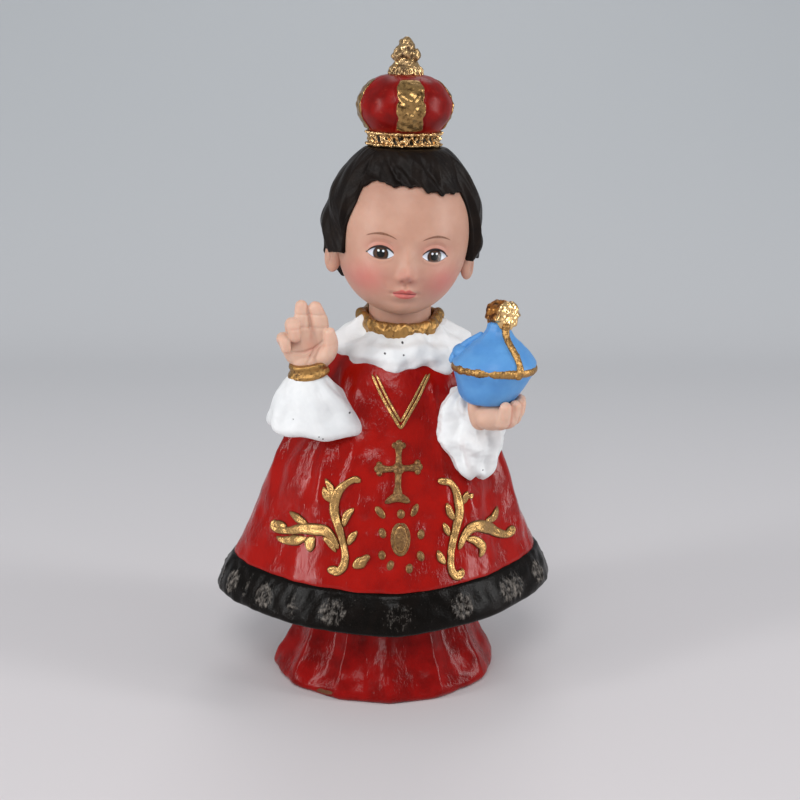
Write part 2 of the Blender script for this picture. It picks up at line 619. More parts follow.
head = {"centre": [1.9, 0.4, 90.0], "radii": [12.8, 13.2, 15.8], "tilt": 0.05, "hair": [2.1, 2.2, 1.7],
        "seat": 105.3, "flatTop": 14.0, "chinEnd": -15.8, "ear": [13.0, -0.4, -6.1], "earHalf": 3.05,
        "eyeX": 4.93, "eye": -3.36, "nose": -7.31, "mouth": -10.47, "eyeHalf": 2.35, "lidUp": 1.30, "lidDown": 0.95,
        "neck": [[6.2, 70.0], [6.0, 73.0], [6.0, 76.0], [6.6, 78.5]], "neckAt": [1.7, -0.2]}


def tilted(x, y, z):
    # turns points given from the head's centre about that centre, towards +X, and puts them in place
    cos, sin = math.cos(head["tilt"]), math.sin(head["tilt"])
    cx, cy, cz = head["centre"]
    return np.stack(np.broadcast_arrays(cx + x * cos + z * sin, cy + y, cz + z * cos - x * sin), -1)


def headEgg(angle, rise, growth):
    # an ellipsoid, fuller in front below the brow; growth 0 is skin and 1 is the outside of the hair
    facing = ease(-0.2, 0.8, np.cos(angle))
    level = np.clip(np.cos(rise), 1e-6, None)
    depth = np.where(rise < 0, level ** (1 - 0.5 * facing), level)
    breadth = np.where(rise < 0, level ** 0.82, level)
    rx, ry, rz = [r + g * growth for r, g in zip(head["radii"], head["hair"])]
    return rx * breadth * np.sin(angle), -ry * depth * np.cos(angle), rz * np.sin(rise)


def faceRelief(x, z):
    # forward growth in mm over (x, z) from the head's centre: a sum of bells and lid curves
    n, ex, ez = np.abs(x), np.abs(x) - head["eyeX"], z - head["eye"]
    nz, mz = z - head["nose"], z - head["mouth"]
    lens = np.clip(1 - (ex / head["eyeHalf"]) ** 2, 0, 1)
    top, low = ez - head["lidUp"] * lens ** 0.7, ez + head["lidDown"] * lens ** 0.8
    inside = ease(-0.12, 0.12, -top) * ease(-0.12, 0.12, low) * ease(0, 0.2, lens)
    socket = -1.0 * bump(ex, 2.9) * bump(ez - 0.3, 2.1) + 0.55 * bump(ex, 1.9) * bump(ez, 1.4)
    lid = (0.26 * bump(top - 0.28, 0.34) + 0.14 * bump(low + 0.3, 0.34)) * ease(0, 0.3, lens)
    crease = -0.14 * bump(top - 1.05, 0.24) * ease(0.1, 0.5, lens)
    brow = 0.35 * bump(ex + 0.2, 3.4) * bump(ez - 3.6, 1.5)
    nose = 1.75 * bump(x, 1.25) * bump(nz - 0.5, 1.35) + 0.55 * bump(n - 1.35, 0.7) * bump(nz + 0.25, 0.75)
    nose = nose + 0.85 * bump(x, 1.15) * bump(nz - 3.1, 2.4) - 0.35 * bump(n - 0.75, 0.35) * bump(nz + 0.75, 0.3)
    bow = 0.16 * bump(n - 0.65, 0.5) - 0.1 * bump(x, 0.35)
    lips = 0.62 * bump(x, 1.9) * bump(mz - 0.55 - bow, 0.52) + 0.72 * bump(x, 1.45) * bump(mz + 0.62, 0.56)
    seam = -0.42 * bump(x, 2.0) * bump(mz - 0.03 + 0.09 * n, 0.17) - 0.28 * bump(n - 2.25, 0.5) * bump(mz, 0.5)
    mound = 0.55 * bump(x, 2.7) * bump(mz, 1.9) - 0.26 * bump(x, 0.42) * bump(mz - 1.75, 0.75)
    under = -0.45 * bump(x, 2.2) * bump(mz + 1.85, 0.7) + 0.75 * bump(x, 2.5) * bump(mz + 3.6, 1.5)
    cheek = 0.65 * bump(n - 6.2, 3.4) * bump(z + 7.6, 3.4)
    smile = -0.12 * bump(n - 3.4 - 0.25 * (z + 9.5), 0.6) * bump(z + 9.3, 1.4)
    return socket + lid + crease + brow + nose + lips + seam + mound + under + cheek + smile - 0.16 * inside


def earShell(side):
    # an oval ball pressed in on its outer face, so a rim and a lobe stand round a hollow
    rise = np.linspace(-math.pi / 2, math.pi / 2, 42)[1:-1, None]
    angle = evenAngles(64)
    along, high = np.cos(rise) * np.cos(angle), np.sin(rise) + 0 * angle
    out = np.cos(rise) * np.sin(angle) * side
    hollow = bump(np.hypot(along - 0.05, (high - 0.12) * 0.9), 0.5)
    fold = bump(np.hypot(along + 0.02, high - 0.15) - 0.42, 0.12) * 0.25
    thick = np.where(out > 0, out * (1 - 0.95 * hollow) - 0.5 * hollow + fold, out)
    ex, ey, ez = head["ear"]
    x, y = ex + 1.35 * thick + 0.9 * along, ey + 1.9 * (1 + 0.25 * high) * along
    low, top = (tilted(side * ex, ey, ez + d) for d in (-head["earHalf"], head["earHalf"]))
    return shellOf(tilted(side * x, y, ez + head["earHalf"] * high), low, top)


angles = evenAngles(320)
angles = angles - 0.55 * np.sin(angles)
rises = np.linspace(-math.pi / 2, math.pi / 2, 172)[1:-1, None]
rises = rises - 0.1 * np.sin(2 * rises + 0.9) + 0.1 * math.sin(0.9) * np.cos(rises)
hx, hy, hz = headEgg(angles, rises, 0)
hy = hy - faceRelief(hx, hz) * ease(0.1, 0.6, np.clip(np.cos(angles), 0, 1))
face = shellOf(tilted(hx, hy, np.minimum(hz, head["flatTop"])), tilted(0, 0, head["chinEnd"]),
               tilted(0, 0, head["flatTop"]))
ring, neckRadius, height = turned(head["neck"], 20, 120)
neck = shellOf(ringGrid(*head["neckAt"], neckRadius, ring, height), (*head["neckAt"], 69.5), (*head["neckAt"], 80))


def castSkin(name, **fixed):
    # a finish that lets a little light in, redder as it goes deeper
    paint = Finish(name, 0.4, Subsurface_Weight=0.35, Subsurface_Scale=0.002, **fixed)
    paint.shader.inputs["Subsurface Radius"].default_value = (1.0, 0.45, 0.3)
    return paint


skin = castSkin("skinPaint", Coat_Weight=0.12, Coat_Roughness=0.3)
shifted = skin.vector("SUBTRACT", {0: skin.place, 1: head["centre"]})
facePlace = skin.node("ShaderNodeMapping", {}, {0: shifted, "Rotation": (0, -head["tilt"], 0)}).outputs[0]
x, y, z = skin.axes(facePlace)
front = (y * -1.0).step(4.0, 7.5)
n = x.size()
ex, ez, mz = n - head["eyeX"], z - head["eye"], z - head["mouth"]
lens = (1.0 - (ex / head["eyeHalf"]) ** 2).most(0.0)
top, low = ez - lens ** 0.7 * head["lidUp"], ez + lens ** 0.8 * head["lidDown"]
opening = (top * -1.0).step(-0.06, 0.08) * low.step(-0.06, 0.08) * lens.step(0.0, 0.06) * front
eyeball = apart(ex, ez + 0.02)
irisRim = (0.2 - (eyeball - 1.25).size()).step(0.0, 0.12)
glintX = (x - head["eyeX"]).size().least((x + head["eyeX"]).size()) - 0.42
glint = (0.25 - apart(glintX, ez - 0.5)).step(0.0, 0.1)
lash = (0.20 + lens * 0.10 - (top - 0.04).size()).step(0.0, 0.10) * (ex + 2.7).step(0.0, 0.4)
lash = lash * (2.75 - ex).step(0, 0.3) * front * (lens + ex.step(1.6, 2.2) * 0.5).step(0.02, 0.12)
lowLash = (0.09 - (low + 0.03).size()).step(0.0, 0.07) * lens.step(0.02, 0.3) * front
creaseLine = (0.10 - (top - 0.95).size()).step(0.0, 0.1) * lens.step(0.1, 0.5) * front
arch = ez - 3.75 + ((ex - 0.25) / 3.0) ** 2 * 0.95
browLine = (0.32 - (ex - 0.2).size() * 0.06 - arch.size()).step(0.0, 0.16)
browLine = browLine * (2.95 - (ex - 0.1).size()).step(0.0, 0.7) * front
bow = (n - 0.65).bell(0.5) * 0.20 - x.bell(0.35) * 0.12
width = (1.0 - (x / 2.3) ** 2).most(0.0)
upperLip = (width ** 0.8 * 0.85 + bow - mz).step(-0.05, 0.22) * (mz + 0.12).step(-0.1, 0.1)
lowerLip = (mz + width ** 0.6 * 1.15).step(-0.05, 0.25) * (0.12 - mz).step(-0.1, 0.1)
lips = (upperLip + lowerLip).least(1.0) * width.step(0.02, 0.2) * front
lipSeam = (0.12 - (mz - 0.03 + n * 0.09).size()).step(0.0, 0.1) * width.step(0.05, 0.3) * front
nostril = apart(n - 0.72, z - head["nose"] + 0.85).bell(0.34) * front
blush = apart((n - 7.2) / 1.15, z + 8.4).bell(3.1)
warm = apart(x, z - head["nose"]).bell(1.8) * 0.25 + (ez - 1.2).bell(1.1) * ex.bell(2.4) * 0.4
eyeTone = skin.layered(
    skin.mix(ez.step(-0.2, 1.3), tone(214, 218, 226), tone(176, 178, 190)),
    ((1.32 - eyeball).step(-0.05, 0.08), 70, 42, 26), (irisRim * 0.8, 34, 20, 14),
    ((0.72 - eyeball).step(-0.05, 0.06), 10, 8, 8), (glint, 240, 244, 248))
cloud = skin.noise(4.0, 4, 0.55, place=facePlace).step(0.3, 0.75)
colour = skin.layered(
    skin.mix(cloud * 0.7, tone(196, 152, 131), tone(183, 137, 116)),
    ((blush * 0.62 + warm * front) * (0.75 + skin.noise(1.2, 3, place=facePlace) * 0.5), 204, 108, 104),
    ((z - 2.0).step(0.0, 9.0) * 0.4, 150, 104, 84), (creaseLine * 0.45, 168, 104, 84))
colour = skin.layered(
    skin.mix(opening, colour, eyeTone), (lash.most(lowLash * 0.6), 40, 26, 20),
    (browLine * (0.55 + skin.noise(0.4, 2, place=facePlace) * 0.6), 112, 66, 40), (lips * 0.85, 196, 92, 88),
    (lipSeam * 0.8, 120, 44, 44), (nostril * 0.5, 160, 92, 80))
skin.feed(Base_Color=colour, Roughness=0.5 - opening * 0.32 - lips * 0.1 + skin.noise(2.0, 2) * 0.06)
skin.relief(skin.noise(0.8, 3), 0.35, 0.08)
makePiece("headAndNeck", [face, neck], skin)
makePiece("ears", [earShell(-1), earShell(1)], skin)
print("head ready")

# Hair: a close cap of combed locks whose rim follows the hairline and turns in under itself

hair = {
    "lock": 0.42, "strands": 96, "strandDepth": 0.03,
    "rim": [  # degrees round the head from the front, height of the rim above the head's centre
        [-180, -11.0], [-130, -11.0], [-105, -7.0], [-96, -4.3], [-62, -4.3], [-59.5, 0.5], [-52, 5.5], [-50.5, 8.4],
        [-47, 9.0], [-31, 9.7], [-22, 9.3], [-14, 8.8], [0, 9.4], [9, 9.1], [12, 8.6], [15, 8.1], [24, 8.7],
        [30, 7.9], [37, 8.0], [46, 8.5], [57, 8.3], [62, 6.0], [66, 4.2], [70, 0.0], [74, -4.5], [96, -4.3],
        [105, -7.0], [130, -11.0], [180, -11.0]],
    "lip": [[0, -1.2], [0, -0.4], [0, -0.02], [-0.012, 0.08], [-0.018, 0.2]],  # rise past the rim, growth
}


def hairline(angle):
    # the rim's rise on the hair egg, read round the head from the table, with ragged lock ends
    degrees = np.degrees((angle + math.pi) % turn - math.pi)
    height = np.interp(degrees, *np.array(hair["rim"]).T)
    tips = 0.22 * np.cos(15 * angle + math.pi) + 0.16 * np.cos(24 * angle + 4.1) + 0.08 * np.sin(48 * angle)
    return np.arcsin((height + tips) / (head["radii"][2] + 0.25 * head["hair"][2]))


angles = evenAngles(400)
t = (np.linspace(0, 1, 121)[:-1, None]) ** 1.25
line = hairline(angles)
rise = line + (math.pi / 2 - line) * t ** 0.9
swirl = angles + 0.3 * t + 1.2 * t * np.cos(angles + 0.4) + 0.06 * np.sin(3 * angles + 5 * t)
fade = np.minimum(1, (1 - t) * 2.2)
sweep = np.sin(2.2 * t + 0.6 * np.sin(2 * angles)) * 0.7
lock = np.cos(15 * swirl) + 0.6 * np.cos(24 * swirl + 1)
strand = np.cos(hair["strands"] * (swirl + 0.25 * sweep)) * (0.6 + 0.4 * roundLumps((13, 13), angles, 12 * t, 5, 41))
nearRim = 1 - ease(0, 0.3, t)
growth = hair["lock"] * lock * (0.07 + 0.6 * nearRim) + hair["strandDepth"] * strand * (0.6 + nearRim)
growth = growth + 0.1 * roundLumps((14, 14), swirl, 14 * t, 3.2, 42)
thin = (0.6 * ease(-0.3, 0.5, np.cos(angles)) + 0.15) * (1 - ease(0, 0.4, t))
curl = 1.15 * bump(np.abs(np.sin(angles)) - 1, 0.12) * bump(t, 0.3) * (0.7 + 0.5 * np.sin(26 * t + 9 * angles))
lip = [tilted(*headEgg(angles, line + d, g)) for d, g in hair["lip"]]
cap = np.concatenate(lip + [tilted(*headEgg(angles, rise, 1 + (growth * fade + curl) / head["hair"][0] - thin))])
seat = head["seat"] - 0.05
flattened = seat - 0.4 * np.exp(-(cap[..., 2] - seat + 0.4) / 0.4)
cap[..., 2] = np.where(cap[..., 2] > seat - 0.4, flattened, cap[..., 2])
combed = np.concatenate([np.zeros((5, 400)), strand * fade])
hairPaint = Finish("hairPaint", 0.12)
combing = (hairPaint.value("combed") * 0.35 + hairPaint.noise(0.6, 3) * 0.7).step(0.45, 0.8) * 0.4
tint = hairPaint.mix(hairPaint.noise(3.0, 4).step(0.35, 0.7), tone(18, 12, 9), tone(27, 19, 14))
hairPaint.feed(Base_Color=hairPaint.mix(combing, tint, tone(48, 37, 30)),
               Roughness=hairPaint.noise(2.2, 3) * 0.25 + 0.3)
hairPaint.relief(hairPaint.noise(0.5, 4, 0.6), 0.6, 0.16)
makePiece("hair", [shellOf(cap, tilted(0, 0, 4.0), (2.6, 0.4, seat), combed=combed)], hairPaint)
print("hair ready")

# Sleeves: a white bell on the raised arm and a hanging one under the orb

sleeves = {"cuff": [-16.1, -11.5, 64.7], "orb": [16.6, -20.0, 68.3],
           "bell": [[3.5, -10.6], [6.2, -11.3], [8.2, -11.2], [9.0, -10.3], [8.95, -9.1], [8.1, -7.1], [6.6, -4.3],
                    [4.5, -1.7], [3.35, -0.2], [2.9, 0.4], [2.2, 0.6]],
           "bag": [[1.2, -22.9], [2.6, -22.7], [3.9, -21.4], [5.0, -18.7], [6.1, -15.7], [6.3, -13.3], [5.6, -10.3],
                   [4.0, -7.7], [2.6, -6.5]], "mouth": 2.3, "grid": [84, 220]}
cx, cy, cz = sleeves["cuff"]
angles, rowRadius, rise = turned(sleeves["bell"], *sleeves["grid"])
up = ease(-9.7, 0.3, rise)
wave = 0.35 * np.cos(7 * angles + 1) * (1 - up) + 0.08 * np.sin(11 * angles)
wave = wave + 0.2 * roundLumps((8, -8), angles, rise, 5, 51) + 0.03 * roundLumps((8, -8), angles, rise, 1.4, 52)
wave = wave + 0.25 * np.sin(5 * angles + 0.6 * rise) * up * (1 - up) * 4
corner = 1.3 * bump(angles - 1.35, 0.45) * (1 - ease(-9.5, -4, rise))
radius = rowRadius + (wave + corner) * ease(2.0, 5.0, rowRadius)
sag = (0.5 * np.cos(angles - 0.9) + 0.35 * np.sin(6 * angles)) * (1 - up)
bell = ringGrid(cx + 1.4 - 1.5 * up, cy + 2.1 - 2.1 * up, radius, angles, cz + rise - sag, 0.86)
ox, oy, oz = sleeves["orb"]
angles, rowRadius, rise = turned(sleeves["bag"], *sleeves["grid"])
drape, lift = ease(-22, -17, rise), ease(-23, -6, rise)
wave = 0.45 * np.cos(6 * angles + 2 + 0.05 * rise) + 0.25 * np.cos(11 * angles + 0.1 * rise)
wave = (wave + 0.1 * roundLumps((6, -6), angles, rise, 1.5, 53)) * drape
wave = wave + 0.3 * roundLumps((6, -6), angles, rise, 4, 54)
mouth = sleeves["mouth"] * bump(angles - (turn - 0.52), 0.34) * bump(rise + 12.4, 2.5)
radius = rowRadius - mouth + wave * ease(1.5, 4, rowRadius)
ripple = 0.5 * np.sin(5 * angles + 1) * (1 - drape)
bag = ringGrid(ox - 1.4 - 1.4 * lift, oy + 6 + 1.5 * lift, radius, angles, oz + rise + ripple)
makePiece("sleeves", [shellOf(bell, (cx + 1.3, cy + 2.1, cz - 10.4), (cx, cy, cz + 0.9)),
                      shellOf(bag, (ox - 1.4, oy + 5.5, oz - 22.9), (ox - 3.2, oy + 8, oz - 5.7))], whitePaint)

# Gilt band at the raised wrist: two rounded rims with a hollow between

band = {"rows": [[2.9, -1.5], [3.6, -1.4], [3.85, -0.9], [3.52, -0.2], [3.48, 0.3], [3.7, 0.85], [3.5, 1.3],
                 [2.8, 1.4]], "tilt": 0.15, "above": 0.9, "grid": [36, 140]}
angles, rowRadius, rise = turned(band["rows"], *band["grid"])
radius = rowRadius + 0.05 * roundLumps((4, 4), angles, rise, 1.4, 55)
height = cz + band["above"] + rise - 0.3 * np.cos(angles) + band["tilt"] * radius * np.sin(angles)
makePiece("wristBand", [shellOf(ringGrid(cx, cy, radius, angles, height, 0.9), (cx, cy, cz - 0.6),
                                (cx, cy, cz + 2.3))], dullGold)

# Hands: tubes and palms melted into one skin, then creased

hands = {
    "voxel": 0.16, "smoothing": 6, "palm": [-16.5, -11.4, 69.6],
    "fingers": [  # points from the palm, radii, flatness: two raised fingers, two folded ones and the thumb
        [[[2.2, 0, 1.0], [2.3, -0.6, 4.6], [1.5, -1.2, 7.5]], [2.0, 1.8, 1.6, 1.25], 0.9],
        [[[-0.6, 0, 1.0], [-0.9, -0.6, 4.8], [-1.05, -1.1, 7.8]], [1.8, 1.65, 1.45, 1.15], 0.9],
        [[[-2.1, -0.2, 1.6], [-2.75, -1.1, 4.3], [-2.5, -2.3, 4.3], [-2.2, -2.5, 2.4]], [1.5, 1.4, 1.25, 1.1], 1],
        [[[-3.2, 0, -0.4], [-4.4, -1.2, 1.8], [-4.1, -2.5, 1.6], [-3.8, -2.7, 0.2]], [1.4, 1.25, 1.1, 0.95], 1],
        [[[2.2, -0.2, -2.8], [3.9, -1.4, -0.8], [4.4, -1.9, 1.1], [4.1, -2.3, 3.2]], [1.75, 1.65, 1.35, 1.0], 1]],
    "fan": [  # angle round the orb, distance out and height of the thumb's and each finger's root
        [-1.1, 2.2, -10.6], [0.35, 3.9, -10.0], [0.78, 3.9, -10.0], [1.2, 3.9, -9.9], [1.62, 3.9, -9.8]],
}
handPaint = castSkin("handSkin")
hollow = handPaint.value("hollow").step(0.1, 0.9)
handTone = handPaint.mix(handPaint.noise(4.0, 4).step(0.3, 0.75) * 0.7, tone(214, 178, 158), tone(202, 160, 138))
handPaint.feed(Base_Color=handPaint.mix(hollow * 0.7, handTone, tone(196, 128, 108)),
               Roughness=handPaint.noise(2.0, 2) * 0.15 + 0.42)
handPaint.relief(handPaint.noise(0.8, 3), 0.4, 0.12)
palm = np.array(hands["palm"])
raised = [ballShell(palm + [0, 0.3, 0], (4.5, 2.5, 4.5)), ballShell(palm + [0.2, 0, -3.2], (3.0, 2.5, 2.9))]
raised += [tubeShell(palm + points, radii, flat=flat) for points, radii, flat in hands["fingers"]]


def orbFinger(angle, start, rise):
    # from under the palm out along the bowl of the orb, as (distance out along the angle, height) steps
    way = np.array([math.sin(angle), -math.cos(angle), 0])
    steps = ((0.3 * start, -9.9), (start, rise + 0.3), (start + 1.1, -8.3), (start + 1.6, -6.6))
    points = [way * out + [ox, oy, oz + up] for out, up in steps]
    points[0] += [-0.4, 0.6, 0]
    return points


holding = [ballShell((ox + x, oy + y, oz + z), radii) for x, y, z, *radii in (
    (0.4, 0.8, -9.3, 3.6, 3.9, 3.0), (-1.2, 3.8, -10.2, 2.8, 3.2, 2.6), (0.1, -2.0, -9.0, 3.5, 3.0, 2.6))]
holding += [tubeShell(orbFinger(*finger), [1.7, 1.6, 1.4, 1.1]) for finger in hands["fan"]]


def creased(points, normals):
    # presses in two bell-shaped lines across the palm and the joints of the raised fingers
    x, y, z = (points - palm).T
    lineA = bump(z + 0.4 - 0.35 * x - 0.08 * x * x, 0.28) * ease(-3.2, -2.2, x) * (1 - ease(2.4, 3.2, x))
    lineB = bump(x - 1.4 - 0.5 * z, 0.28) * bump(z + 1.2, 1.8)
    joints = (bump(z - 3.9, 0.25) + bump(z - 6.3, 0.2)) * (1 - ease(3.4, 4.2, np.abs(x - 0.6)))
    return points - normals * ((0.3 * lineA + 0.28 * lineB + 0.14 * joints) * (1 - ease(-1.6, 0.2, y)))[:, None]


def palmHollow(points):
    # how deep a point of the palm lies: bells over its hollow, its crease and the gap between the fingers
    x, y, z = (points - palm).T
    gap = bump(x - 0.75, 0.35) * ease(1.2, 2.6, z) * (1 - ease(6.5, 8.0, z))
    deep = 0.55 * bump(np.hypot(x - 0.9, z - 0.6), 1.9) + 0.5 * gap + 0.3 * bump(z + 0.4 - 0.35 * x, 0.4)
    return deep * (1 - ease(-2.2, 0.4, y))


def fingerCreases(points, normals):
    # presses in a bell-shaped ring at the joints, 6 mm out from the orb's axis
    x, y, z = (points - [ox, oy, oz]).T
    return points - normals * (bump(np.hypot(x, y) - 6.0, 0.22) * (1 - ease(-7, -4, z)) * 0.14)[:, None]


def fingerHollow(points):
    # bells round the three angles where two fingers meet
    x, y, z = (points - [ox, oy, oz]).T
    gaps = sum(bump(np.arctan2(x, -y) - angle, 0.06) for angle in (0.565, 0.99, 1.41))
    return np.clip(gaps * ease(3.5, 5.0, np.hypot(x, y)), 0, 1) * 0.8


for name, shells, crease, deepness in (("raisedHand", raised, creased, palmHollow),
                                       ("holdingHand", holding, fingerCreases, fingerHollow)):
    hand = fuse(makePiece(name, shells, handPaint), hands["voxel"], hands["smoothing"])
    reshape(hand, crease, hollow=deepness)
print("sleeves and hands ready")

# Orb: a blue bowl and lid with a gilt ring, a rope up the front and a block behind

orb = {"rows": [[4.2, -6.6], [4.7, -6.2], [5.6, -4.9], [6.8, -2.6], [7.65, -0.9], [7.85, 0.2], [7.75, 0.9],
                [6.6, 2.3], [4.9, 4.0], [3.3, 5.2], [2.3, 6.5], [2.1, 7.6], [1.6, 8.2]],
       "across": 0.4, "narrow": 0.045, "lean": 0.08,
       "ring": 7.02, "bead": 0.74, "ropeAngle": 0.42, "grid": [80, 190]}
orbRadii, orbHeights = smoothPath(orb["rows"], 80).T


def orbPoint(angle, rise, proud=0.0):
    # on the orb's skin, pushed out by proud: the profile's radius, less what it is narrowed by above the bowl
    settled = ease(-6, -1, rise)
    r = np.interp(rise, orbHeights, orbRadii) * (1 - orb["narrow"] * settled) + proud
    return ringGrid(ox + orb["across"] * settled + rise * orb["lean"], oy, r, angle, oz + rise)


angles, _, rise = turned(orb["rows"], *orb["grid"])
waist = 0.12 * bump(rise - 3.6 - 0.4 * np.sin(2 * angles), 0.5)
orbGrid = orbPoint(angles, rise, 0.07 * roundLumps((8, -8), angles, rise, 4, 61) - waist)
seamRise = np.linspace(0.4, 5.4, 7)
makePiece("orb", [shellOf(orbGrid, (ox - 0.5, oy, oz - 6.6), (ox + 0.6, oy, oz + 8.4)),
                  tubeShell(orbPoint(-1.9, seamRise, 0.15), [0.75, 0.9, 0.85, 0.7, 0.5]),
                  ballShell((ox - 4.9, oy + 2.2, oz + 1.9), (2.1, 2.2, 1.6))], bluePaint)
ring = evenAngles(480)
tube = evenAngles(24).T
bead = orb["bead"] + 0.07 * roundLumps((8, 8), ring, 0 * ring, 1.8, 62) + 0.02 * np.sin(70 * ring)
hoop = ringGrid(0, 0, orb["ring"] + bead * np.cos(tube), ring, bead * 1.1 * np.sin(tube) - 0.35)
hoop[..., 2] -= 0.01 * hoop[..., 0] + 0.05 * hoop[..., 1]
ropePath = orbPoint(orb["ropeAngle"] + 0.05 * np.sin(np.linspace(0, 6, 14)), np.linspace(-0.3, 7.4, 14), 0.12)
rope = tubeShell(ropePath, [0.75, 0.62, 0.66, 0.6, 0.62, 0.7], 18, 90)
rope["corners"] += 0.09 * lumps(*rope["corners"].T, 0.9, 63)[:, None] * [0.6, -0.8, 0.2]
makePiece("orbRing", [hoopShell(hoop + [ox + orb["across"], oy, oz]), rope], dullGold)

# Gilt knob: a thick rough disc standing on the orb, turned to the viewer's right

knob = {"rows": [[0.5, -2.6], [1.9, -2.5], [2.45, -2.0], [2.55, -0.4], [2.6, 1.0], [2.2, 1.5], [1.2, 1.65],
                 [0.5, 1.6]], "centre": [1.75, 0.0, 9.1], "scale": 1.02, "turn": 0.55, "grid": [44, 110]}
angles, rowRadius, depth = turned(knob["rows"], *knob["grid"], knob["scale"])
radius = rowRadius * (1 + 0.04 * np.cos(8 * angles + 1)) + 0.12 * roundLumps((2.5, 2.5), angles, depth, 1.1, 64)
u, w = radius * np.sin(angles), radius * np.cos(angles)
out = depth + 0.07 * lumps(u, w, depth, 1.0, 65) * ease(0.8, 1.4, depth)
s, c = math.sin(knob["turn"]), -math.cos(knob["turn"])
kx, ky, kz = np.add(sleeves["orb"], knob["centre"])
disc = shellOf(np.stack([kx + out * s - u * c, ky + out * c + u * s, kz + w], -1),
               (kx - 2.6 * s, ky - 2.6 * c, kz), (kx + 1.6 * s, ky + 1.6 * c, kz))
knobGold = Finish("knobGold")
x, y, z = knobGold.axes()
outward = ((x - kx) * s + (y - ky) * c + knobGold.noise(0.8, 3) * 0.5).step(1.0, 1.4)
fine = knobGold.noise(1.1, 4, 0.6)
sideTone = knobGold.mix(fine.step(0.6, 0.35), tone(166, 112, 52), tone(78, 44, 18))
faceTone = knobGold.mix(fine.step(0.5, 0.3), tone(222, 186, 130), tone(168, 124, 74))
knobGold.feed(Base_Color=knobGold.mix(outward, sideTone, faceTone), Metallic=outward * 0.15 + 0.7,
              Roughness=0.36 - outward * 0.12)
knobGold.relief(fine, 0.5, 0.05)
makePiece("orbKnob", [disc], knobGold)
print("orb ready")

# Crown: a beaded band, a red puffed cap with four leafy gilt panels, a small ring and a clover knob

crown = {
    "centre": [1.7, 0.4], "base": 105.6, "bandHeight": 2.8, "capRadius": 8.8, "capHeight": 9.9,
    "panelHalf": 2.5, "panelProud": 0.22, "knobHeight": 122.75, "highest": 124.98,
    "capGrid": [96, 360], "bandGrid": [60, 560], "ringGrid": [46, 280],
    "capRows": [[0.74, 0.0], [0.80, 0.06], [0.93, 0.22], [0.985, 0.34], [1.0, 0.45], [0.985, 0.56], [0.93, 0.67],
                [0.77, 0.85], [0.56, 0.96], [0.385, 1.0]],
    "bandRows": [[5.9, 0.0], [6.6, 0.0], [6.95, 0.25], [6.95, 0.55], [6.5, 0.75], [6.45, 1.4], [6.5, 2.0],
                 [6.9, 2.2], [6.95, 2.55], [6.6, 2.8], [6.2, 2.85]],
    "ringRows": [[2.8, -0.5], [3.1, -0.4], [3.2, 0.1], [3.05, 0.7], [2.8, 1.25], [2.6, 1.5], [2.35, 1.8],
                 [2.1, 2.4], [1.6, 3.2]],
    "lobes": [  # x, y, z from the knob's middle, radius
        [-1.35, -0.5, -1.2, 1.3], [1.35, -0.5, -1.2, 1.3], [0, 0, 0.85, 1.3], [0, -1.0, -0.9, 1.25],
        [0, 1.1, -1.1, 1.3], [0, 0, -0.8, 1.5], [0, 0, -0.2, 1.75]],
}
crownX, crownY = crown["centre"]
bandTop = crown["base"] + crown["bandHeight"]
capTop = bandTop + crown["capHeight"] - 0.1


def onCrown(radius, angles, height, low, high, **layers):
    # a turned shell on the crown's axis, closed at the two heights
    return shellOf(ringGrid(crownX, crownY, radius, angles, height), (crownX, crownY, low), (crownX, crownY, high),
                   **layers)


angles, rowRadius, rise = turned(crown["capRows"] * np.array([crown["capRadius"], crown["capHeight"]]),
                                 *crown["capGrid"])
theta = angles - 0.035
puff = 0.35 * np.abs(np.sin(2 * theta)) - 0.2 + 0.1 * roundLumps((9, 9), angles, rise, 4, 71)
quarter = (theta / (turn / 4) + 0.5) % 1.0 - 0.5
along = quarter * (turn / 4) * rowRadius
high = rise / crown["capHeight"]
edge = 0.86 + 0.16 * np.sin(np.pi * np.clip(high * 1.1, 0, 1)) + 0.07 * np.sin(high * 19) + 0.03 * np.sin(high * 41)
edge = crown["panelHalf"] * edge
panel = (1 - ease(-0.16, 0.16, np.abs(along) - edge)) * (1 - ease(0.90, 0.94, high + 0.012 * (along / 1.6) ** 4))
panel = panel * ease(0.01, 0.05, high - 0.012 * (along / 1.8) ** 4)
vein = 0.45 * np.sin(np.abs(along) * 2.0 - rise * 2.0) * (0.6 + 0.4 * np.sin(rise * 1.3 + 1)) + 0.3 * bump(along, 0.3)
leafy = panel * (crown["panelProud"] + 0.25 * vein + 0.1 * roundLumps((9, 9), angles, rise, 1.6, 72))
leafy = leafy - 0.14 * bump(np.abs(along) - edge - 0.2, 0.2) * (1 - panel)
radius = rowRadius + puff * ease(0, 0.3, high) * (1 - ease(0.8, 1.0, high)) + leafy
cap = onCrown(radius, angles, bandTop - 0.4 + rise * 1.03, bandTop - 0.4, capTop, gilded=panel)

